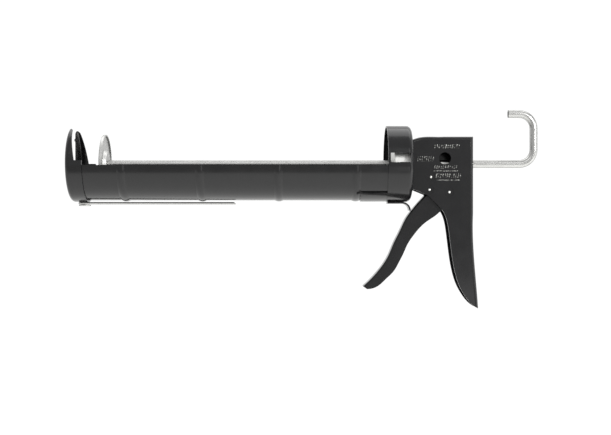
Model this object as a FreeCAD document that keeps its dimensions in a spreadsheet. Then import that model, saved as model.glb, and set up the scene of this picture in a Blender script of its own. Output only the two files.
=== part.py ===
"""Ratchet-rod caulking gun with a half-round cradle, for a 50 mm by 215 mm cartridge.

Frame: +X runs from the nozzle end to the handle, +Z is up, and the origin is on the push rod's
axis at the rear cup's inner back face, where the cartridge's plunger end is seated.
Rest pose: trigger released, plunger run forward, hook up, seal pin folded back under the cradle.
"""
import FreeCAD, Part
import math
import os
import re
import Sketcher

os.makedirs("parts", exist_ok=True)
Vector = FreeCAD.Vector
doc = FreeCAD.newDocument("caulking_gun")

SIZES = {
    # the half-round cradle that the cartridge lies in
    "cradle_inner": 25.3,
    "cradle_sheet": 0.9,
    "rim_drop": 1.9,
    "gun_front": 242.5,
    "bead_first": 38.6,
    "bead_pitch": 54.93,
    "bead_count": 4,
    "bead_width": 6.0,
    "bead_height": 0.8,
    # the drawn front cap and rear cup, and what is welded under the cradle
    "drawn_sheet": 1.1,
    "weld_gap": 0.03,
    "cap_depth": 12.0,
    "cap_corner": 3.0,
    "horn_depth": 6.7,
    "horn_tip": 3.1,
    "horn_base": 1.4,
    "horn_top": 24.5,
    "slot_half": 10.5,
    "nib_reach": 3.0,
    "nib_low": 16.2,
    "cup_depth": 16.6,
    "cup_corner": 3.5,
    "cup_inside_corner": 0.7,
    "window_front": 15.1,
    "window_rear": 1.1,
    "window_height": 6.6,
    "saddle_front": 35.2,
    "saddle_arc": 78.0,
    "stop_width": 12.0,
    "stop_front": 15.9,
    "stop_bend": 5.6,
    # the rod, its teeth, its hook and the plunger on its front end
    "rod_radius": 2.78,
    "rod_fit": 0.07,
    "rod_shoulder": 216.45,
    "hook_bend": 10.4,
    "hook_leg": 89.7,
    "hook_height": 36.0,
    "hook_end": 71.4,
    "tooth_pitch": 2.5,
    "tooth_depth": 0.8,
    "tooth_first": 196.0,
    "tooth_count": 95,
    "tenon_radius": 1.9,
    "disc_radius": 21.0,
    "disc_front": 219.8,
    "disc_sheet": 1.0,
    "disc_dish": 9.5,
    "dish_depth": 2.3,
    # the rod bushing in the rear cup
    "drum_radius": 21.0,
    "drum_front": 12.6,
    "drum_groove": 2.6,
    "drum_wall": 1.6,
    "hub_radius": 7.9,
    "neck_radius": 5.0,
    "ring_radius": 7.5,
    "ring_thick": 1.4,
    # the folded handle frame
    "frame_sheet": 1.2,
    "frame_width": 19.0,
    "frame_front": 1.15,
    "frame_rear": 45.1,
    "frame_top": 19.2,
    "frame_fold": 2.4,
    "flange_reach": 14.5,
    "flange_height": 15.0,
    "hole_radius": 4.3,
    "hole_across": 24.8,
    "hole_up": 3.6,
    # the trigger and the pins, from the side: how far behind the origin, how far below the axis
    "trigger_width": 14.0,
    "trigger_fold": 2.0,
    "pivot_back": 27.9,
    "pivot_down": 20.4,
    "stop_back": 13.8,
    "stop_down": 18.6,
    "hold_back": 14.8,
    "hold_down": 9.6,
    "drive_back": 31.0,
    "drive_down": 10.9,
    "pin_radius": 2.2,
    "pin_tenon": 0.95,
    "pin_fit": 0.05,
    "dimple_radius": 3.2,
    "dimple_depth": 0.45,
    "drive_pin": 1.6,
    "drive_width": 5.0,
    "hold_width": 8.0,
    # the seal pin under the front cap
    "wire_radius": 0.9,
    "wire_drop": 28.3,
    "wire_length": 108.7,
    "eye_radius": 3.6,
    "eye_back": 233.3,
    "rivet_radius": 2.3,
    "rivet_head": 4.3,
}

sheet = doc.addObject("Spreadsheet::Sheet", "Sizes")
for row, (alias, value) in enumerate(SIZES.items(), start=1):
    sheet.set("A%d" % row, alias)
    sheet.set("B%d" % row, str(value))
    sheet.setAlias("B%d" % row, alias)
doc.recompute()

ALIASES = re.compile(r"\b(%s)\b" % "|".join(SIZES))
nodes = []


# ---------------------------------------------------------------- helpers

def cells(text):
    """The expression with every alias written as a cell of the sheet."""
    return ALIASES.sub(r"Sizes.\1", str(text))


def number(text):
    """The present value of an expression over the sheet's aliases."""
    return float(sheet.evalExpression(cells(text)))


def bind(thing, field, text):
    thing.setExpression(field, cells(text))


def keep(piece, x="0", y="0", z="0"):
    """Name a finished sub-part's place and put it on the list of nodes."""
    for axis, text in zip("xyz", (x, y, z)):
        bind(piece, "Placement.Base.%s" % axis, text)
    nodes.append(piece)
    return piece


def new_body(label):
    piece = doc.addObject("PartDesign::Body", label)
    piece.Label = label
    return piece


def new_sketch(piece, name, plane, offset="0"):
    """A sketch on one of the body's own origin planes: XY, XZ or YZ, moved along its normal."""
    sketch = piece.newObject("Sketcher::SketchObject", "%s_%s" % (piece.Label, name))
    origin = next(f for f in piece.Origin.OriginFeatures if f.Role == plane + "_Plane")
    sketch.AttachmentSupport = (origin, [""])
    sketch.MapMode = "FlatFace"
    bind(sketch, "AttachmentOffset.Base.z", offset)
    return sketch


def hold(sketch, kind, text, geometry, *point):
    """A dimension of the sketch, bound to the sheet."""
    index = sketch.addConstraint(Sketcher.Constraint(kind, geometry, *point, number(text)))
    bind(sketch, "Constraints[%d]" % index, text)


def polygon(sketch, corners):
    """A closed polygon whose corners are pairs of expressions."""
    points = [Vector(number(x), number(y), 0) for x, y in corners]
    first = sketch.GeometryCount
    count = len(points)
    for i in range(count):
        sketch.addGeometry(Part.LineSegment(points[i], points[(i + 1) % count]), False)
    for i in range(count):
        line = first + i
        after = first + (i + 1) % count
        sketch.addConstraint(Sketcher.Constraint("Coincident", line, 2, after, 1))
        hold(sketch, "DistanceX", corners[i][0], line, 1)
        hold(sketch, "DistanceY", corners[i][1], line, 1)
    return sketch


def circle(sketch, radius, x="0", y="0"):
    geometry = Part.Circle(Vector(number(x), number(y), 0), Vector(0, 0, 1), number(radius))
    index = sketch.addGeometry(geometry, False)
    hold(sketch, "Radius", radius, index)
    hold(sketch, "DistanceX", x, index, 3)
    hold(sketch, "DistanceY", y, index, 3)
    return sketch


def trace(sketch, start, steps, closed=True):
    """An outline from start through steps: ("line", end), ("arc", middle, end) or
    ("curve", point, ..., end), each point an (x, y) pair. A curve is a smooth spline."""
    at = Vector(start[0], start[1], 0)
    for kind, *points in steps:
        path = [at] + [Vector(x, y, 0) for x, y in points]
        if kind == "line":
            sketch.addGeometry(Part.LineSegment(path[0], path[1]), False)
        elif kind == "arc":
            sketch.addGeometry(Part.Arc(*path), False)
        else:
            spline = Part.BSplineCurve()
            spline.interpolate(path)
            sketch.addGeometry(spline, False)
        at = path[-1]
    if closed:
        sketch.addGeometry(Part.LineSegment(at, Vector(start[0], start[1], 0)), False)


def check(feature):
    doc.recompute()
    if "Invalid" in feature.State or "Error" in feature.State:
        raise RuntimeError("%s failed: %s" % (feature.Name, feature.State))
    return feature


def solid_volume(piece):
    return 0.0 if piece.Shape.isNull() else piece.Shape.Volume


def pad(piece, sketch, length):
    """A pad, half to each side of the sketch."""
    feature = piece.newObject("PartDesign::Pad", sketch.Name + "_pad")
    feature.Profile = sketch
    feature.SideType = "Symmetric"
    bind(feature, "Length", length)
    return check(feature)


def pocket(piece, sketch, length):
    """A cut to both sides of the sketch; it must take material away."""
    before = solid_volume(piece)
    feature = piece.newObject("PartDesign::Pocket", sketch.Name + "_pocket")
    feature.Profile = sketch
    feature.SideType = "Symmetric"
    bind(feature, "Length", length)
    check(feature)
    if solid_volume(piece) >= before:
        raise RuntimeError("%s cuts nothing" % feature.Name)
    return feature


def turn(piece, sketch, axis="H_Axis", angle="360", cut=False):
    """A revolution, or a groove, about one of the sketch's axes, even to both sides."""
    kind = "Groove" if cut else "Revolution"
    feature = piece.newObject("PartDesign::" + kind, "%s_%s" % (sketch.Name, kind.lower()))
    feature.Profile = sketch
    feature.ReferenceAxis = (sketch, [axis])
    feature.Midplane = True
    bind(feature, "Angle", angle)
    return check(feature)


def pipe(piece, profile, path):
    feature = piece.newObject("PartDesign::AdditivePipe", piece.Label + "_pipe")
    feature.Profile = profile
    feature.Spine = (path, ["Edge%d" % (i + 1) for i in range(path.GeometryCount)])
    return check(feature)


def repeat(piece, originals, sketch, pitch, count):
    """The features again along the sketch's horizontal axis, towards -X."""
    feature = piece.newObject("PartDesign::LinearPattern", piece.Label + "_pattern")
    feature.Originals = originals
    feature.Direction = (sketch, ["H_Axis"])
    feature.Reversed = True
    bind(feature, "Length", "%s * (%s - 1)" % (pitch, count))
    bind(feature, "Occurrences", count)
    piece.Tip = feature
    return check(feature)


def round_edges(piece, radius, wanted, kind="Fillet"):
    """Fillet or chamfer the edges of the present tip whose middle point passes the test."""
    doc.recompute()
    base = piece.Tip
    names = []
    for i, edge in enumerate(base.Shape.Edges):
        middle = edge.valueAt((edge.FirstParameter + edge.LastParameter) / 2)
        if wanted(edge, middle):
            names.append("Edge%d" % (i + 1))
    if not names:
        raise RuntimeError("no edge of %s passes the test" % piece.Label)
    feature = piece.newObject("PartDesign::" + kind, "%s_%s" % (base.Name, kind.lower()))
    feature.Base = (base, names)
    bind(feature, "Radius" if kind == "Fillet" else "Size", radius)
    return check(feature)


def hoop(x, radius):
    """A test for a whole ring edge about the X axis."""
    def test(edge, middle):
        ring = isinstance(edge.Curve, Part.Circle) and abs(edge.Curve.Radius - number(radius)) < 0.01
        return ring and abs(edge.Curve.Center.x - number(x)) < 0.01
    return test


def disc_between(label, front, rear, inner, outer, round_over=None):
    """A collar about the X axis."""
    piece = new_body(label)
    corners = [(front, inner), (front, outer), (rear, outer), (rear, inner)]
    turn(piece, polygon(new_sketch(piece, "section", "XZ"), corners))
    if round_over:
        round_edges(piece, round_over, lambda edge, middle: hoop(front, outer)(edge, middle)
                    or hoop(rear, outer)(edge, middle))
    return piece


# ---------------------------------------------------------------- cradle, cap and cup

CRADLE_OUTER = "(cradle_inner + cradle_sheet)"
DRAWN_INNER = "(cradle_inner + cradle_sheet + weld_gap)"
DRAWN_OUTER = "(cradle_inner + cradle_sheet + weld_gap + drawn_sheet)"


def bead(sketch, radius):
    """The rolled bead nearest the handle: an arc standing out from the given radius."""
    half = number("bead_width") / 2
    middle = -number("bead_first")
    low = -number(radius)
    crest = (middle, low - number("bead_height"))
    trace(sketch, (middle - half, low), [("arc", crest, (middle + half, low))])
    return sketch


def make_cradle():
    """Half-round trough rolled from thin sheet, with four ring beads that stiffen it."""
    piece = new_body("cradle")
    front = "(gun_front - cap_corner)"
    rear = "cup_inside_corner"
    ring = new_sketch(piece, "ring", "YZ", "-(%s + %s) / 2" % (front, rear))
    circle(ring, CRADLE_OUTER)
    circle(ring, "cradle_inner")
    pad(piece, ring, "%s - %s" % (front, rear))
    outside = bead(new_sketch(piece, "bead", "XZ"), CRADLE_OUTER)
    hollow = bead(new_sketch(piece, "bead_hollow", "XZ"), "cradle_inner")
    pair = [turn(piece, outside), turn(piece, hollow, cut=True)]
    repeat(piece, pair, outside, "bead_pitch", "bead_count")
    corners = [("-gun_front", "-rim_drop"), ("5", "-rim_drop"), ("5", "40"), ("-gun_front", "40")]
    pocket(piece, polygon(new_sketch(piece, "open_top", "XZ"), corners), "100")
    rivet_hole(piece)
    return keep(piece)


def rivet_hole(piece):
    """The seal pin's rivet hole through the bottom of the cradle and of the cap."""
    hole = circle(new_sketch(piece, "rivet_hole", "XY", "-cradle_inner"), "rivet_radius", "-eye_back")
    pocket(piece, hole, "10")


def make_front_cap():
    """Drawn cup over the cradle's front end, cut away above to two horns beside the nozzle slot."""
    piece = new_body("front_cap")
    face = "-gun_front"
    back = "-gun_front + drawn_sheet"
    rear = "-gun_front + cap_depth"
    section = [(face, "0"), (face, DRAWN_OUTER), (rear, DRAWN_OUTER), (rear, DRAWN_INNER),
               (back, DRAWN_INNER), (back, "0")]
    turn(piece, polygon(new_sketch(piece, "section", "XZ"), section))
    round_edges(piece, "cap_corner", hoop(face, DRAWN_OUTER))
    round_edges(piece, "cap_corner - drawn_sheet", hoop(back, DRAWN_INNER))
    horn_line = [("%s + 3" % rear, "horn_base"), ("%s + horn_depth" % face, "horn_base"),
                 ("%s + horn_tip" % face, "horn_top - 1"), ("%s + 2" % face, "horn_top"),
                 ("%s - 2" % face, "horn_top"),
                 ("%s - 2" % face, "40"), ("%s + 3" % rear, "40")]
    pocket(piece, polygon(new_sketch(piece, "horn_line", "XZ"), horn_line), "100")
    wall = "%s + drawn_sheet / 2" % face
    pocket(piece, circle(new_sketch(piece, "slot_end", "YZ", wall), "slot_half"), "3")
    edge = [("slot_half", "0"), ("slot_half", "nib_low"), ("slot_half - nib_reach", "nib_low + 0.9"),
            ("slot_half - nib_reach", "nib_low + 2.2"), ("slot_half", "nib_low + 3.1"),
            ("slot_half", "40")]
    slot = [("-(%s)" % across, up) for across, up in edge] + edge[::-1]
    pocket(piece, polygon(new_sketch(piece, "slot", "YZ", wall), slot), "6")
    rivet_hole(piece)
    return keep(piece)


def make_rear_cup():
    """Drawn cup that holds the cartridge's rear end, with a window in the near side."""
    piece = new_body("rear_cup")
    rear = "drawn_sheet"
    front = "-cup_depth"
    section = [(front, DRAWN_INNER), (front, DRAWN_OUTER), (rear, DRAWN_OUTER),
               (rear, "neck_radius + weld_gap"), ("0", "neck_radius + weld_gap"), ("0", DRAWN_INNER)]
    turn(piece, polygon(new_sketch(piece, "section", "XZ"), section))
    round_edges(piece, "cup_corner", hoop(rear, DRAWN_OUTER))
    round_edges(piece, "cup_inside_corner - 0.1", hoop("0", DRAWN_INNER))
    window = [("-window_front", "0"), ("-window_rear", "0"), ("-window_rear", "window_height"),
              ("-window_front", "window_height")]
    pocket(piece, polygon(new_sketch(piece, "window", "XZ", DRAWN_INNER), window), "20")
    return keep(piece)


def make_saddle():
    """Curved doubler plate under the cradle, spot welded just ahead of the rear cup."""
    piece = new_body("cradle_saddle")
    top = "-%s - weld_gap" % CRADLE_OUTER
    low = "%s - cradle_sheet" % top
    rear = "-cup_depth - 0.1"
    corners = [("-saddle_front", top), (rear, top), (rear, low), ("-saddle_front", low)]
    turn(piece, polygon(new_sketch(piece, "section", "XZ"), corners), angle="saddle_arc")
    return keep(piece)


def make_trigger_stop():
    """Strip welded under the rear cup, bent down to meet the front of the resting trigger."""
    piece = new_body("trigger_stop")
    top = -number(DRAWN_OUTER) - number("weld_gap")
    bend = number("stop_bend")
    half = number("frame_sheet") / 2
    front = -number("stop_front")
    centre = (0.2 - bend, top - half - bend)
    outer = bend + half
    inner = bend - half
    diagonal = math.sqrt(0.5)
    sketch = new_sketch(piece, "strip", "XZ")
    trace(sketch, (front, top), [
        ("line", (centre[0], top)),
        ("arc", (centre[0] + outer * diagonal, centre[1] + outer * diagonal), (centre[0] + outer, centre[1])),
        ("line", (centre[0] + inner, centre[1])),
        ("arc", (centre[0] + inner * diagonal, centre[1] + inner * diagonal), (centre[0], centre[1] + inner)),
        ("line", (front, centre[1] + inner)),
    ])
    pad(piece, sketch, "stop_width")
    return keep(piece)


# ---------------------------------------------------------------- seal pin

def make_seal_pin():
    """Stiff wire with an eye, which swings out from under the cap to pierce a cartridge's seal."""
    piece = new_body("seal_pin")
    eye = number("eye_radius")
    length = number("wire_length")
    lead = math.acos(eye / length)

    def round_eye(turned):
        return (eye * math.cos(-lead - turned), eye * math.sin(-lead - turned))

    path = new_sketch(piece, "path", "XY")
    open_turn = math.radians(318)
    steps = [("line", round_eye(0)), ("arc", round_eye(open_turn / 2), round_eye(open_turn))]
    trace(path, (length, 0), steps, closed=False)
    profile = circle(new_sketch(piece, "profile", "YZ", "wire_length"), "wire_radius")
    pipe(piece, profile, path)
    point = [("wire_length - 3", "wire_radius + 1"), ("wire_length + 1", "wire_radius + 1"),
             ("wire_length + 1", "-wire_radius")]
    pocket(piece, polygon(new_sketch(piece, "point", "XZ"), point), "10")
    return keep(piece, "-eye_back", "0", "-wire_drop")


def make_seal_pin_rivet():
    """Flush rivet through the cap and the cradle; the seal pin's eye turns on its shank."""
    piece = new_body("seal_pin_rivet")
    shoulder = "-wire_drop - wire_radius - 0.15"
    corners = [("0", "-cradle_inner - 0.1"), ("rivet_radius", "-cradle_inner - 0.1"),
               ("rivet_radius", shoulder), ("rivet_head", shoulder),
               ("rivet_head", "%s - 0.9" % shoulder), ("0", "%s - 0.9" % shoulder)]
    turn(piece, polygon(new_sketch(piece, "section", "XZ"), corners), axis="V_Axis")
    head = number(shoulder) - 0.9
    round_edges(piece, "0.7", lambda edge, middle: abs(middle.z - head) < 0.01
                and isinstance(edge.Curve, Part.Circle))
    return keep(piece, "-eye_back")


# ---------------------------------------------------------------- rod and plunger

def make_push_rod():
    """Round rod, toothed underneath and bent to a hook behind, with a headed tenon in front."""
    piece = new_body("push_rod")
    bend = number("hook_bend")
    leg = number("hook_leg")
    height = number("hook_height")
    corner = bend * (1 - math.sqrt(0.5))
    path = new_sketch(piece, "path", "XZ")
    trace(path, (-number("rod_shoulder"), 0), [
        ("line", (leg - bend, 0)),
        ("arc", (leg - corner, corner), (leg, bend)),
        ("line", (leg, height - bend)),
        ("arc", (leg - corner, height - corner), (leg - bend, height)),
        ("line", (number("hook_end"), height)),
    ], closed=False)
    profile = circle(new_sketch(piece, "profile", "YZ", "-rod_shoulder"), "rod_radius")
    pipe(piece, profile, path)
    head_back = "-disc_front + dish_depth - 0.8"
    tenon = [("-rod_shoulder + 1", "0"), ("-rod_shoulder + 1", "tenon_radius"),
             (head_back, "tenon_radius"), (head_back, "3.4"), ("%s - 1.1" % head_back, "3.4"),
             ("%s - 1.1" % head_back, "0")]
    turn(piece, polygon(new_sketch(piece, "tenon", "XZ"), tenon))
    round_edges(piece, "0.8", hoop("%s - 1.1" % head_back, "3.4"))
    low = "-rod_radius - 0.4"
    deep = "-rod_radius + tooth_depth"
    rear = "tooth_pitch * (tooth_count - 1) - tooth_first"
    notch = new_sketch(piece, "notch", "XZ")
    polygon(notch, [(rear, low), (rear, deep), ("%s + tooth_pitch * 0.85" % rear, "-rod_radius"),
                    ("%s + tooth_pitch * 0.85" % rear, low)])
    repeat(piece, [pocket(piece, notch, "8")], notch, "tooth_pitch", "tooth_count")
    return keep(piece)


def make_pressure_disc():
    """Pressed plunger disc: flat ring, centre dished back to hide the rod's head, rim turned back."""
    piece = new_body("pressure_disc")
    front = "-disc_front"
    back = "%s + disc_sheet" % front
    dish = "%s + dish_depth" % front
    dish_back = "%s + disc_sheet" % dish
    rim = "%s + 2.2" % front
    bore = "tenon_radius + pin_fit"
    section = [(dish, bore), (dish, "disc_dish - 1.5"), (front, "disc_dish"), (front, "disc_radius"),
               (rim, "disc_radius"), (rim, "disc_radius - disc_sheet"),
               (back, "disc_radius - disc_sheet"), (back, "disc_dish + 0.6"),
               (dish_back, "disc_dish - 0.9"), (dish_back, bore)]
    turn(piece, polygon(new_sketch(piece, "section", "XZ"), section))
    round_edges(piece, "0.7", hoop(front, "disc_radius"))
    return keep(piece)


def make_disc_washer():
    front = "-disc_front + dish_depth - 0.7"
    return keep(disc_between("disc_washer", front, "%s + 0.68" % front, "tenon_radius + pin_fit", "5.2"))


def make_rod_bushing():
    """Cast guide in the rear cup: a drum that centres the cartridge and a hub for the rod.

    The drum is open behind, and the hub's neck passes through the rear cup's back."""
    piece = new_body("rod_bushing")
    bore = "rod_radius + rod_fit"
    end = "drawn_sheet + ring_thick + 0.4"
    groove = "-drum_groove"
    inner = "drum_radius - drum_wall"
    section = [("-drum_front", bore), ("-drum_front", "drum_radius"), (groove, "drum_radius"),
               (groove, "drum_radius - 0.7"), ("%s + 0.6" % groove, "drum_radius - 0.7"),
               ("%s + 0.6" % groove, "drum_radius"), ("-weld_gap", "drum_radius"), ("-weld_gap", inner),
               ("-drum_front + drum_wall", inner), ("-drum_front + drum_wall", "hub_radius"),
               ("-weld_gap", "hub_radius"), ("-weld_gap", "neck_radius"), (end, "neck_radius"),
               (end, bore)]
    turn(piece, polygon(new_sketch(piece, "section", "XZ"), section))
    round_edges(piece, "1.2", hoop("-drum_front", "drum_radius"))
    return keep(piece)


def make_bushing_ring():
    front = "drawn_sheet + weld_gap"
    return keep(disc_between("bushing_ring", front, "%s + ring_thick" % front,
                             "neck_radius + weld_gap", "ring_radius", "0.4"))


# ---------------------------------------------------------------- handle frame

def frame_back(inset):
    """The spine's line from the top to the grip's tip, moved inward by the inset."""
    rear = number("frame_rear") - inset
    return [("line", (rear, -36.0)),
            ("curve", (rear - 0.1, -52.0), (rear + 1.5, -77.4), (rear + 3.6, -103.4))]


def make_handle_frame():
    """One folded sheet: top and spine round over into two side plates, open in front."""
    piece = new_body("handle_frame")
    front = number("frame_front")
    top = number("frame_top")
    rear = number("frame_rear")
    sheet_thick = number("frame_sheet")
    side = new_sketch(piece, "side", "XZ")
    trace(side, (front, top - 2.6), [
        ("curve", (4.6, top - 1.1), (10.4, top - 0.1), (24.0, top)),
        ("line", (rear, top)),
        *frame_back(0.0),
        ("curve", (43.3, -99.8), (38.7, -93.9), (35.1, -87.4), (32.8, -80.9), (31.0, -73.3),
         (28.6, -56.7), (27.4, -47.3), (26.2, -40.8), (22.8, -33.1)),
        ("line", (14.6, -24.6)),
        ("arc", (12.9, -23.0), (10.9, -21.9)),
        ("line", (front, -17.9)),
    ])
    pad(piece, side, "frame_width")
    half = number("frame_width") / 2

    def folded(edge, middle):
        outside = abs(abs(middle.y) - half) < 0.01
        return outside and (middle.x > rear - 0.6 and edge.Length > 5 or middle.z > top - 1.6)

    round_edges(piece, "frame_fold", folded)
    hollow = new_sketch(piece, "hollow", "XZ")
    trace(hollow, (-5.0, top - 3.4 - sheet_thick), [
        ("line", (front, top - 2.6 - sheet_thick)),
        ("curve", (4.6, top - 1.1 - sheet_thick), (10.4, top - 0.1 - sheet_thick), (24.0, top - sheet_thick)),
        ("line", (rear - sheet_thick, top - sheet_thick)),
        *frame_back(sheet_thick),
        ("line", (rear + 2.6, -110.0)),
        ("line", (-5.0, -110.0)),
    ])
    pocket(piece, hollow, "frame_width - 2 * frame_sheet")
    flange = new_sketch(piece, "flange", "YZ", "frame_front + frame_sheet / 2")
    for sign in ("", "-"):
        inner = "%s(frame_width / 2 - frame_sheet / 2)" % sign
        outer = "%sflange_reach" % sign
        low = "-flange_height - 1.5"
        polygon(flange, [(inner, low), (outer, low), (outer, "flange_height"), (inner, "flange_height")])
    pad(piece, flange, "frame_sheet")
    outlet = new_sketch(piece, "rod_hole", "YZ", "frame_rear")
    pocket(piece, circle(outlet, "rod_radius + 0.25"), "8")
    near = new_sketch(piece, "sight_hole", "XZ", "frame_width / 2")
    pocket(piece, circle(near, "hole_radius", "hole_across", "hole_up"), "4")
    for name in ("pivot", "stop", "hold"):
        across = "%s_back" % name
        up = "-%s_down" % name
        hole = circle(new_sketch(piece, name + "_hole", "XZ"), "pin_tenon", across, up)
        pocket(piece, hole, "40")
        for sign in ("", "-"):
            outside = "%s(frame_width / 2)" % sign
            dimple = circle(new_sketch(piece, name + "_dimple", "XZ", outside), "dimple_radius", across, up)
            pocket(piece, dimple, "2 * dimple_depth")
    return keep(piece)


def make_frame_pin(label, name):
    """Shouldered pin: the shaft spaces the side plates, and each tenon is peened in a dimple."""
    piece = new_body(label)
    shoulder = "(frame_width / 2 - frame_sheet)"
    end = "(frame_width / 2 + 0.05)"
    corners = [("0", "-%s" % end), ("pin_tenon", "-%s" % end), ("pin_tenon", "-%s" % shoulder),
               ("pin_radius", "-%s" % shoulder), ("pin_radius", shoulder), ("pin_tenon", shoulder),
               ("pin_tenon", end), ("0", end)]
    turn(piece, polygon(new_sketch(piece, "section", "XY"), corners), axis="V_Axis")
    ends = number(end)
    round_edges(piece, "0.7", lambda edge, middle: abs(abs(middle.y) - ends) < 0.01
                and isinstance(edge.Curve, Part.Circle))
    return keep(piece, "%s_back" % name, "0", "-%s_down" % name)


# ---------------------------------------------------------------- trigger and pawls

def trigger_front(inset):
    """The trigger's front line from its tip up to the frame, moved inward by the inset."""
    line = [(-33.4, -87.6), (-28.7, -83.3), (-22.8, -76.8), (-19.2, -72.1), (-15.6, -66.2),
            (-11.5, -56.7), (-7.1, -47.9), (-3.8, -40.8), (1.2, -33.4), (10.9, -22.5)]
    moved = []
    for i, (x, z) in enumerate(line):
        before = line[max(i - 1, 0)]
        after = line[min(i + 1, len(line) - 1)]
        run = math.hypot(after[0] - before[0], after[1] - before[1])
        moved.append((x + inset * (after[1] - before[1]) / run, z - inset * (after[0] - before[0]) / run))
    return moved


def make_trigger():
    """Folded channel with its spine in front; two ears carry the pivot and the drive pawl."""
    piece = new_body("trigger")
    pivot = (number("pivot_back"), -number("pivot_down"))
    pawl = (number("drive_back"), -number("drive_down"))
    ear = 4.0
    front = trigger_front(0.0)
    side = new_sketch(piece, "side", "XZ")
    trace(side, front[0], [
        ("curve", *front[1:]),
        ("line", (12.0, -22.0)),
        ("line", (18.4, -19.6)),
        ("line", (pawl[0] - 3.4, pawl[1] + 2.1)),
        ("arc", (pawl[0] + 0.4, pawl[1] + ear), (pawl[0] + ear, pawl[1])),
        ("line", (pivot[0] + 5.6, pivot[1] + 0.4)),
        ("arc", (pivot[0] + 4.2, pivot[1] - 3.8), (pivot[0] + 1.2, pivot[1] - 6.4)),
        ("curve", (22.8, -33.1), (17.4, -37.8), (12.0, -41.4), (6.8, -46.1), (2.0, -52.0),
         (-1.5, -57.3), (-5.0, -65.0), (-8.0, -70.8), (-11.5, -76.8), (-16.8, -82.1),
         (-21.5, -86.5), (-30.6, -89.6)),
    ])
    pad(piece, side, "trigger_width")
    half = number("trigger_width") / 2

    def folded(edge, middle):
        near = min(math.hypot(middle.x - x, middle.z - z) for x, z in front)
        return abs(abs(middle.y) - half) < 0.01 and edge.Length > 60 and near < 4.0

    round_edges(piece, "trigger_fold", folded)
    inner = trigger_front(number("frame_sheet"))
    hollow = new_sketch(piece, "hollow", "XZ")
    trace(hollow, inner[0], [
        ("curve", *inner[1:]),
        ("line", (inner[-1][0] + 3.0, inner[-1][1] + 3.4)),
        ("line", (20.0, 10.0)),
        ("line", (50.0, 10.0)),
        ("line", (50.0, -105.0)),
        ("line", (inner[0][0] - 4.5, -105.0)),
        ("line", (inner[0][0] - 4.5, inner[0][1] - 4.5)),
    ])
    pocket(piece, hollow, "trigger_width - 2 * frame_sheet")
    pivot_hole = new_sketch(piece, "pivot_hole", "XZ")
    pocket(piece, circle(pivot_hole, "pin_radius + pin_fit", "pivot_back", "-pivot_down"), "40")
    pawl_hole = new_sketch(piece, "pawl_hole", "XZ")
    pocket(piece, circle(pawl_hole, "drive_pin", "drive_back", "-drive_down"), "40")
    return keep(piece)


def make_drive_pawl_pin():
    """Headed pin pressed through the trigger's ears."""
    piece = new_body("drive_pawl_pin")
    pad(piece, circle(new_sketch(piece, "section", "XZ"), "drive_pin"), "trigger_width + 0.8")
    round_edges(piece, "0.3", lambda edge, middle: isinstance(edge.Curve, Part.Circle), "Chamfer")
    return keep(piece, "drive_back", "0", "-drive_down")


def make_pawl(label, name, pin, width, hub, tip):
    """Hardened pawl: a hub on its pin and a finger that leans forward to a tip under the rod."""
    piece = new_body(label)
    pad(piece, circle(new_sketch(piece, "hub", "XZ"), hub), width)
    across, up = tip
    finger = [("%s - 2.4" % across, up), (across, up), ("%s * 0.55" % hub, "%s * 0.7" % hub),
              ("-%s * 0.9" % hub, "-%s * 0.25" % hub)]
    pad(piece, polygon(new_sketch(piece, "finger", "XZ"), finger), width)
    pocket(piece, circle(new_sketch(piece, "bore", "XZ"), "%s + pin_fit" % pin), "20")
    return keep(piece, "%s_back" % name, "0", "-%s_down" % name)


def make_spacer(label, name, pin, outer, start, end):
    """Collar that keeps a pawl in the middle of its pin."""
    piece = new_body(label)
    ring = new_sketch(piece, "ring", "XZ", "-(%s + %s) / 2" % (start, end))
    circle(ring, outer)
    circle(ring, "%s + pin_fit" % pin)
    pad(piece, ring, "%s - %s" % (end, start))
    return keep(piece, "%s_back" % name, "0", "-%s_down" % name)


def make_torsion_spring(label, name, wire, coil, pitch, turns, start, legs, offset):
    """Coil about a cross pin with two straight legs that leave it along its tangents.

    start is the angle, from +X towards +Z, where the first leg meets the coil."""
    helix = Part.makeHelix(pitch, pitch * turns, coil).Edges[0]
    first = helix.valueAt(helix.FirstParameter)
    last = helix.valueAt(helix.LastParameter)
    begin = helix.tangentAt(helix.FirstParameter)
    end = helix.tangentAt(helix.LastParameter)
    leg_in = Part.LineSegment(first - begin * legs[0], first).toShape()
    leg_out = Part.LineSegment(last, last + end * legs[1]).toShape()
    path = Part.Wire([leg_in, helix, leg_out])
    section = Part.Wire([Part.Circle(first - begin * legs[0], begin, wire).toShape()])
    spring = doc.addObject("Part::Feature", label)
    spring.Label = label
    spring.Shape = path.makePipeShell([section], True, False)
    turned = FreeCAD.Rotation(Vector(1, 0, 0), 90) * FreeCAD.Rotation(Vector(0, 0, 1), start)
    middle = Vector(number("%s_back" % name), offset + pitch * turns / 2, -number("%s_down" % name))
    spring.Placement = FreeCAD.Placement(middle, turned)
    nodes.append(spring)
    return spring


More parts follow.
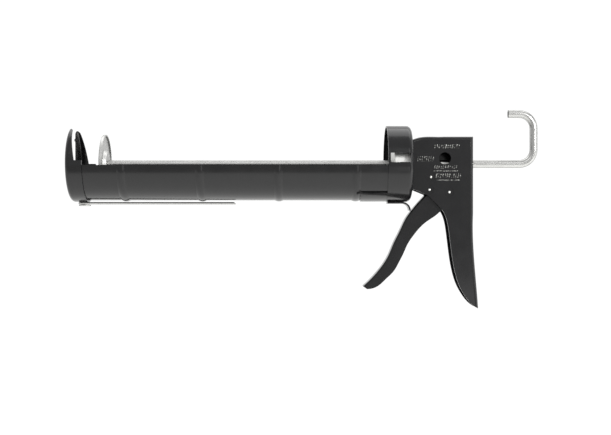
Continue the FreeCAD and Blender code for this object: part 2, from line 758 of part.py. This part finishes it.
make_cradle()
make_front_cap()
make_rear_cup()
make_saddle()
make_trigger_stop()
make_seal_pin()
make_seal_pin_rivet()
make_push_rod()
make_pressure_disc()
make_disc_washer()
make_rod_bushing()
make_bushing_ring()
make_handle_frame()
make_frame_pin("trigger_pivot_pin", "pivot")
make_frame_pin("stop_pin", "stop")
make_frame_pin("holding_pawl_pin", "hold")
make_trigger()
make_drive_pawl_pin()
make_pawl("drive_pawl", "drive", "drive_pin", "drive_width", "3.6", ("-4.6", "7.45"))
make_pawl("holding_pawl", "hold", "pin_radius", "hold_width", "4.1", ("-3.8", "6.6"))
make_spacer("drive_pawl_spacer", "drive", "drive_pin", "2.7", "2.65", "5.65")
make_spacer("holding_pawl_spacer", "hold", "pin_radius", "3.4", "4.15", "8.15")
make_torsion_spring("trigger_return_spring", "pivot", 0.6, 3.2, 1.3, 5 + 22 / 360, 90, (15.2, 14.6), 0.0)
make_torsion_spring("drive_pawl_spring", "drive", 0.3, 2.25, 0.68, 2.45, 0, (7.0, 7.5), -4.15)
make_torsion_spring("holding_pawl_spring", "hold", 0.35, 2.95, 0.8, 2.65, 180, (7.2, 6.0), -6.1)


# ---------------------------------------------------------------- check and export

doc.recompute()
for thing in doc.Objects:
    if "Invalid" in thing.State or "Error" in thing.State:
        raise RuntimeError("%s is %s" % (thing.Name, thing.State))
for node in nodes:
    if node.Shape.isNull() or not node.Shape.isValid() or not node.Shape.Solids:
        raise RuntimeError("%s has no valid shape" % node.Label)
    node.Shape.exportStep("parts/%s.step" % node.Label)
    print("%-24s %2d solid, %9.1f mm3" % (node.Label, len(node.Shape.Solids), node.Shape.Volume))
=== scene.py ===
import math

import bpy
import numpy as np
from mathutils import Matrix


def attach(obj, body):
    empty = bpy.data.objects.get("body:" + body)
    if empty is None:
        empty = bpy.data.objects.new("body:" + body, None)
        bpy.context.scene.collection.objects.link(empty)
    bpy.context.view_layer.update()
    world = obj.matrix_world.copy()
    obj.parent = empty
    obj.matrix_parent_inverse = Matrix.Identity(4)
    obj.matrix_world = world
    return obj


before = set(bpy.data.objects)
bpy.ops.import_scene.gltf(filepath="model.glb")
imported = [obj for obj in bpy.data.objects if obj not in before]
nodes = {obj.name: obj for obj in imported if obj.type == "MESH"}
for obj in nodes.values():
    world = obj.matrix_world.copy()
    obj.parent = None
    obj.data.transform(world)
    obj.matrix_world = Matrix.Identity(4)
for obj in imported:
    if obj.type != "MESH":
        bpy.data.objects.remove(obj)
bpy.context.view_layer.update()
MM = 0.001


# ---- Camera -------------------------------------------------------------------------------
# A level camera a little below the cradle, square to the gun's side, with the nozzle end to
# the left and the handle to the right.

camera_data = bpy.data.cameras.new("camera")
camera_data.lens = 64.8
camera_data.sensor_width = 36.0
camera = bpy.data.objects.new("camera", camera_data)
camera.location = (-0.0745, -0.792, -0.0385)
camera.rotation_euler = (math.radians(90), 0, 0)
bpy.context.scene.collection.objects.link(camera)
bpy.context.scene.camera = camera


# ---- Pressed sheet steel: cradle, cap, cup, doubler, stop strip, handle and trigger -------
# Rolled, drawn and folded from low-carbon sheet, spot welded, then dipped and baked in black
# enamel. The enamel is deep and glossy, with a faint orange peel and the sheet's slow waves.

def linear(colour):
    """An sRGB hex colour such as "#c8c8c4" as linear red, green, blue and alpha."""
    parts = [int(colour[i:i + 2], 16) / 255 for i in (1, 3, 5)]
    return (*[p / 12.92 if p <= 0.04045 else ((p + 0.055) / 1.055) ** 2.4 for p in parts], 1.0)


def add_node(tree, kind, inputs=None, **settings):
    """Adds a shader node; inputs maps a socket's name or index to a value or to an output."""
    made = tree.nodes.new(kind)
    for name, value in settings.items():
        setattr(made, name, value)
    for key, value in (inputs or {}).items():
        if isinstance(value, bpy.types.NodeSocket):
            tree.links.new(value, made.inputs[key])
        else:
            made.inputs[key].default_value = value
    return made


def new_material(name):
    """An empty node material; returns it, its tree and its output node."""
    material = bpy.data.materials.new(name)
    material.use_nodes = True
    tree = material.node_tree
    tree.nodes.clear()
    return material, tree, add_node(tree, "ShaderNodeOutputMaterial")


def baked_enamel(name, peel_mm=1.3, wave_mm=26.0, cloud_mm=9.0):
    """Black baked enamel: a clear, hard gloss over black in faint clouds, with two bumps.

    The peel is the paint's own orange peel, and the wave is the sheet's unevenness under it."""
    material, tree, output = new_material(name)
    place = add_node(tree, "ShaderNodeTexCoord").outputs["Object"]
    peel = add_node(tree, "ShaderNodeTexNoise", {"Vector": place, "Scale": 1 / (peel_mm * MM), "Detail": 2.0})
    wave = add_node(tree, "ShaderNodeTexNoise", {"Vector": place, "Scale": 1 / (wave_mm * MM), "Detail": 1.0})
    cloud = add_node(tree, "ShaderNodeTexNoise", {"Vector": place, "Scale": 1 / (cloud_mm * MM),
                                                  "Detail": 4.0})
    colour = add_node(tree, "ShaderNodeMix", {"Factor": cloud.outputs["Fac"], 6: linear("#131314"),
                                              7: linear("#1a1a1b")}, data_type="RGBA")
    rough = add_node(tree, "ShaderNodeMapRange", {"Value": cloud.outputs["Fac"], "From Min": 0.3,
                                                  "From Max": 0.7, "To Min": 0.13, "To Max": 0.21})
    slow = add_node(tree, "ShaderNodeBump", {"Height": wave.outputs["Fac"], "Strength": 0.10,
                                             "Distance": 1.0 * MM})
    fine = add_node(tree, "ShaderNodeBump", {"Height": peel.outputs["Fac"], "Strength": 0.05,
                                             "Distance": 0.1 * MM, "Normal": slow.outputs["Normal"]})
    shader = add_node(tree, "ShaderNodeBsdfPrincipled", {
        "Base Color": colour.outputs[2], "Roughness": rough.outputs["Result"], "IOR": 1.45,
        "Normal": fine.outputs["Normal"]})
    tree.links.new(shader.outputs["BSDF"], output.inputs["Surface"])
    return material


def give(material, *names):
    """Puts a material on CAD nodes."""
    for name in names:
        nodes[name].material_slots[0].material = material


enamel = baked_enamel("black baked enamel")
give(enamel, "cradle", "front_cap", "rear_cup", "cradle_saddle", "trigger_stop", "handle_frame", "trigger")


# ---- Raised bars on the handle's side plates ----------------------------------------------
# Plain ribs struck outward into each side plate from within: rows of short upright bars and
# two long thin ones. They are the plate's own metal, under enamel that wear has rubbed thin.

def grid_faces(rows, columns):
    """Quads of a grid whose columns close into a ring."""
    index = np.arange(rows * columns).reshape(rows, columns)
    after = np.roll(index, -1, axis=1)
    return np.stack([index[:-1], index[1:], after[1:], after[:-1]], axis=-1).reshape(-1, 4)


def pillows(centres, halves, lean, side, rows=8, columns=20):
    """Points and faces of closed pillows lying against an XZ plate, one for each centre.

    x and z follow cos(a) * (cos b, sin b), with the sines and cosines raised to a power below
    one to square the outline, y follows sin(a), and x leans with z. The poles are single points."""
    a = np.linspace(-np.pi / 2, np.pi / 2, rows + 1)[1:-1, None]
    b = np.linspace(0, 2 * np.pi, columns, endpoint=False)[None, :] * side
    ring = np.cos(a) ** 0.5
    x = ring * np.sign(np.cos(b)) * np.abs(np.cos(b)) ** 0.6
    z = ring * np.sign(np.sin(b)) * np.abs(np.sin(b)) ** 0.6
    one = np.stack([x, side * np.sin(a) + 0 * b, z], axis=-1).reshape(-1, 3)
    one = np.vstack([one, [[0, -side, 0], [0, side, 0]]])
    points = one[None] * halves[:, None, :]
    points[..., 0] += points[..., 2] * lean
    points = (points + centres[:, None, :]).reshape(-1, 3)
    low = np.arange(columns)
    high = low + (rows - 2) * columns
    first = np.full(columns, len(one) - 2)
    quads = grid_faces(rows - 1, columns)
    caps = np.vstack([np.stack([first, low, np.roll(low, -1)], axis=-1),
                      np.stack([first + 1, np.roll(high, -1), high], axis=-1)])
    starts = np.arange(len(centres))[:, None, None] * len(one)
    return points, (quads + starts).reshape(-1, 4), (caps + starts).reshape(-1, 3)


def add_piece(name, points, faces, material, body):
    """A smooth mesh object at the origin that rides on a body and takes a slot's finish."""
    mesh = bpy.data.meshes.new(name)
    mesh.from_pydata(points.tolist(), [], faces)
    mesh.materials.append(material)
    mesh.shade_smooth()
    piece = bpy.data.objects.new(name, mesh)
    bpy.context.scene.collection.objects.link(piece)
    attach(piece, body)
    return piece


def worn_enamel(name, chip_mm=0.8):
    """The same black enamel where it stands proud: rubbed through in specks to grey steel.

    The specks are 0.8 mm across, coarser than real wear, so that they show."""
    material, tree, output = new_material(name)
    place = add_node(tree, "ShaderNodeTexCoord").outputs["Object"]
    chips = add_node(tree, "ShaderNodeTexNoise", {"Vector": place, "Scale": 1 / (chip_mm * MM), "Detail": 3.0,
                                                  "Roughness": 0.6})
    worn = add_node(tree, "ShaderNodeMapRange", {"Value": chips.outputs["Fac"], "From Min": 0.50,
                                                 "From Max": 0.58, "To Min": 0.0, "To Max": 0.75})
    colour = add_node(tree, "ShaderNodeMix", {"Factor": worn.outputs["Result"], 6: linear("#151516"),
                                              7: linear("#c8c8c4")}, data_type="RGBA")
    shader = add_node(tree, "ShaderNodeBsdfPrincipled", {
        "Base Color": colour.outputs[2], "Metallic": worn.outputs["Result"], "Roughness": 0.3, "IOR": 1.45})
    tree.links.new(shader.outputs["BSDF"], output.inputs["Surface"])
    return material


rubbed_enamel = worn_enamel("rubbed black enamel")
PLATE = 9.5
BAR_PITCH = 1.55
BAR_HALF = 0.46
BAR_RISE = 0.42
BAR_LEAN = 0.18
# Each row: its first bar's place behind the origin, its height, how many bars, their half height.
BAR_ROWS = [(17.6, 12.2, 12, 1.5), (5.4, 3.3, 8, 2.0), (17.4, -2.6, 11, 1.3), (18.6, -8.7, 12, 1.7)]
# Each long bar: the place of its middle, its height, its half length.
LONG_BARS = [(25.0, -5.3, 9.4), (27.2, -11.9, 8.6)]

upright_bars = [(left + BAR_PITCH * k, 0.0, up, BAR_HALF, BAR_RISE, half)
                for left, up, count, half in BAR_ROWS for k in range(count)]
long_bars = [(across, 0.0, up, half, BAR_RISE, BAR_RISE) for across, up, half in LONG_BARS]
bars = np.array(upright_bars + long_bars)

for name, side in (("handle_bars_near", -1), ("handle_bars_far", 1)):
    centres = bars[:, :3] + np.array([0.0, side * PLATE, 0.0])
    points, quads, caps = pillows(centres, bars[:, 3:], BAR_LEAN, side)
    add_piece(name, points * MM, quads.tolist() + caps.tolist(), rubbed_enamel, "frame")


# ---- Push rod -----------------------------------------------------------------------------
# Cold-drawn steel, sheared, bent and notched, then bright zinc plated. It shows light bands
# along its length between darker edges, slightly broken up by the drawing lines.

def drawn_steel(name):
    """Bright plated drawn steel: metal with lines along X in its roughness and bump.

    Real drawing lines are far finer. These are 1.3 mm across, so that they show."""
    material, tree, output = new_material(name)
    place = add_node(tree, "ShaderNodeTexCoord").outputs["Object"]
    stretched = add_node(tree, "ShaderNodeMapping", {"Vector": place, "Scale": (0.4, 3.0, 3.0)})
    lines = add_node(tree, "ShaderNodeTexNoise", {"Vector": stretched.outputs["Vector"],
                                                  "Scale": 1 / (4.0 * MM), "Detail": 3.0})
    cloud = add_node(tree, "ShaderNodeTexNoise", {"Vector": place, "Scale": 1 / (7.0 * MM), "Detail": 3.0})
    colour = add_node(tree, "ShaderNodeMix", {"Factor": cloud.outputs["Fac"], 6: linear("#b2b2b0"),
                                              7: linear("#c6c6c4")}, data_type="RGBA")
    rough = add_node(tree, "ShaderNodeMapRange", {"Value": lines.outputs["Fac"], "From Min": 0.3,
                                                  "From Max": 0.7, "To Min": 0.24, "To Max": 0.32})
    bump = add_node(tree, "ShaderNodeBump", {"Height": lines.outputs["Fac"], "Strength": 0.02,
                                             "Distance": 0.01 * MM})
    shader = add_node(tree, "ShaderNodeBsdfPrincipled", {
        "Base Color": colour.outputs[2], "Metallic": 1.0, "Roughness": rough.outputs["Result"],
        "Specular Tint": (0.12, 0.12, 0.12, 1.0), "Normal": bump.outputs["Normal"]})
    tree.links.new(shader.outputs["BSDF"], output.inputs["Surface"])
    return material


give(drawn_steel("bright drawn rod steel"), "push_rod")


# ---- Plunger disc, its washer, the rod bushing and its ring -------------------------------
# Pressed, cast and turned pieces with bright zinc plate: light grey, slightly cloudy and
# faintly matt, so that they show soft tones and no mirror images. The two copies differ in
# lightness as painted light and shade.

def zinc_plate(name, dull, bright):
    """Bright zinc plate on turned or pressed steel: cloudy patches and faint turning rings.

    The rings follow the distance from the rod's axis."""
    material, tree, output = new_material(name)
    place = add_node(tree, "ShaderNodeTexCoord").outputs["Object"]
    across = add_node(tree, "ShaderNodeVectorMath", {0: place, 1: (0.0, 1.0, 1.0)}, operation="MULTIPLY")
    radius = add_node(tree, "ShaderNodeVectorMath", {0: across.outputs["Vector"]}, operation="LENGTH")
    rings = add_node(tree, "ShaderNodeTexNoise", {"W": radius.outputs["Value"], "Scale": 1 / (0.9 * MM),
                                                  "Detail": 3.0}, noise_dimensions="1D")
    cloud = add_node(tree, "ShaderNodeTexNoise", {"Vector": place, "Scale": 1 / (5.0 * MM), "Detail": 5.0})
    colour = add_node(tree, "ShaderNodeMix", {"Factor": cloud.outputs["Fac"], 6: linear(dull),
                                              7: linear(bright)}, data_type="RGBA")
    rough = add_node(tree, "ShaderNodeMapRange", {"Value": cloud.outputs["Fac"], "From Min": 0.3,
                                                  "From Max": 0.7, "To Min": 0.42, "To Max": 0.56})
    bump = add_node(tree, "ShaderNodeBump", {"Height": rings.outputs["Fac"], "Strength": 0.15,
                                             "Distance": 0.08 * MM})
    shader = add_node(tree, "ShaderNodeBsdfPrincipled", {
        "Base Color": colour.outputs[2], "Metallic": 1.0, "Roughness": rough.outputs["Result"],
        "Specular Tint": (0.66, 0.66, 0.66, 1.0), "Normal": bump.outputs["Normal"]})
    tree.links.new(shader.outputs["BSDF"], output.inputs["Surface"])
    return material


# Painted shade: the disc and its washer take a darker copy of the same plate, which dims a strong reflection.
give(zinc_plate("zinc plate on pressed steel", "#c0c0be", "#d0d0ce"), "pressure_disc", "disc_washer")
# Painted light: the bushing and its ring take a lighter copy, which brightens them through the cup's window.
give(zinc_plate("bright zinc plate", "#e8e8e5", "#f6f6f3"), "rod_bushing", "bushing_ring")


# ---- Pins, collars, pawls, springs, and the seal pin with its rivet -----------------------
# Turned and zinc plated pins with peened ends, heat-treated pawls that run in grease, and
# bright hard-drawn wire with an eye, which turns on a plated rivet.

# Painted highlight: the pins take the lighter copy of the zinc plate, so that their ends show white.
give(zinc_plate("plated pin steel", "#e8e8e5", "#f6f6f3"), "trigger_pivot_pin", "stop_pin",
     "holding_pawl_pin", "drive_pawl_pin", "drive_pawl_spacer", "holding_pawl_spacer")
give(drawn_steel("spring wire"), "trigger_return_spring", "drive_pawl_spring", "holding_pawl_spring",
     "seal_pin", "seal_pin_rivet")


def oil_black(name):
    """Heat-treated steel quenched in oil: dark brown-grey oxide, satin, in soft patches."""
    material, tree, output = new_material(name)
    place = add_node(tree, "ShaderNodeTexCoord").outputs["Object"]
    patch = add_node(tree, "ShaderNodeTexNoise", {"Vector": place, "Scale": 1 / (3.0 * MM), "Detail": 4.0})
    colour = add_node(tree, "ShaderNodeMix", {"Factor": patch.outputs["Fac"], 6: linear("#2c2b2a"),
                                              7: linear("#5a5855")}, data_type="RGBA")
    bump = add_node(tree, "ShaderNodeBump", {"Height": patch.outputs["Fac"], "Strength": 0.1,
                                             "Distance": 0.1 * MM})
    shader = add_node(tree, "ShaderNodeBsdfPrincipled", {
        "Base Color": colour.outputs[2], "Metallic": 1.0, "Roughness": 0.38,
        "Normal": bump.outputs["Normal"]})
    tree.links.new(shader.outputs["BSDF"], output.inputs["Surface"])
    return material


give(oil_black("oil-quenched steel"), "drive_pawl", "holding_pawl")


# ---- Studio -------------------------------------------------------------------------------
# A pale floor that glows softly as painted light, and is painted darker as shade well in front
# of the gun, with soft lights over and around the gun, and a pale room that is dimmer on the
# near side.

FLOOR = -0.90
FLOOR_FRONT = -1.56
FLOOR_REACH = 8.0
FLOOR_FADE = 0.10
FLOOR_GLOW = 0.42

floor_mesh = bpy.data.meshes.new("floor")
corners = [(-FLOOR_REACH, -FLOOR_REACH, FLOOR), (FLOOR_REACH, -FLOOR_REACH, FLOOR),
           (FLOOR_REACH, FLOOR_REACH, FLOOR), (-FLOOR_REACH, FLOOR_REACH, FLOOR)]
floor_mesh.from_pydata(corners, [], [(0, 1, 2, 3)])
floor = bpy.data.objects.new("floor", floor_mesh)
bpy.context.scene.collection.objects.link(floor)
floor_paint, floor_tree, floor_output = new_material("pale floor")
floor_place = add_node(floor_tree, "ShaderNodeTexCoord").outputs["Object"]
floor_axes = add_node(floor_tree, "ShaderNodeSeparateXYZ", {"Vector": floor_place})
# Painted light and shade: 1 behind FLOOR_FRONT, where the floor is lighter and glows, 0 in front.
lit = add_node(floor_tree, "ShaderNodeMapRange", {
    "Value": floor_axes.outputs["Y"], "From Min": FLOOR_FRONT - FLOOR_FADE,
    "From Max": FLOOR_FRONT + FLOOR_FADE})
floor_colour = add_node(floor_tree, "ShaderNodeMix", {"Factor": lit.outputs["Result"], 6: linear("#cfcfcd"),
                                                      7: linear("#f4f4f2")}, data_type="RGBA")
glow = add_node(floor_tree, "ShaderNodeMath", {0: lit.outputs["Result"], 1: FLOOR_GLOW}, operation="MULTIPLY")
floor_shader = add_node(floor_tree, "ShaderNodeBsdfPrincipled", {
    "Base Color": floor_colour.outputs[2], "Roughness": 0.9, "Emission Color": (1.0, 1.0, 1.0, 1.0),
    "Emission Strength": glow.outputs["Value"]})
floor_tree.links.new(floor_shader.outputs["BSDF"], floor_output.inputs["Surface"])
floor_mesh.materials.append(floor_paint)


def soft_light(name, place, aim, size, watts):
    """A rectangular area light at a place, turned to face the aim."""
    data = bpy.data.lights.new(name, "AREA")
    data.shape = "RECTANGLE"
    data.size, data.size_y = size
    data.energy = watts
    light = bpy.data.objects.new(name, data)
    light.location = place
    away = np.subtract(aim, place)
    light.rotation_euler = (math.atan2(math.hypot(away[0], away[1]), -away[2]), 0,
                            math.atan2(-away[0], away[1]))
    light.visible_camera = False
    bpy.context.scene.collection.objects.link(light)


soft_light("overhead", (-0.05, 0.42, 1.1), (-0.05, 0.30, 0.0), (1.8, 0.9), 7.0)
soft_light("side", (1.3, 0.5, -0.05), (0.0, 0.0, -0.05), (0.5, 1.4), 2.4)
soft_light("edge_card", (1.0, -0.45, -0.12), (0.04, 0.0, -0.05), (0.35, 1.2), 2.0)
soft_light("front", (1.0, -1.3, 0.5), (0.0, 0.0, 0.0), (0.5, 0.5), 14.0)
soft_light("front_left", (-0.225, -1.35, 0.95), (-0.12, 0.0, 0.0), (0.55, 0.6), 1.5)
soft_light("front_right", (0.48, -1.35, 0.95), (0.08, 0.0, 0.0), (0.45, 0.6), 1.3)
soft_light("low_card", (0.19, -0.80, -0.24), (0.04, 0.0, -0.08), (0.22, 0.20), 0.18)

ROOM_FRONT = 0.62
ROOM_BACK = 1.05
world = bpy.data.worlds.new("room")
bpy.context.scene.world = world
world.use_nodes = True
room = world.node_tree
room.nodes.clear()
direction = add_node(room, "ShaderNodeTexCoord").outputs["Generated"]
axes = add_node(room, "ShaderNodeSeparateXYZ", {"Vector": direction})
depth = add_node(room, "ShaderNodeMapRange", {"Value": axes.outputs["Y"], "From Min": -0.3, "From Max": 0.3,
                                              "To Min": ROOM_FRONT, "To Max": ROOM_BACK})
air = add_node(room, "ShaderNodeBackground", {"Color": (1, 1, 1, 1), "Strength": depth.outputs["Result"]})
add_node(room, "ShaderNodeOutputWorld", {"Surface": air.outputs["Background"]})
bpy.context.scene.view_settings.view_transform = "Standard"
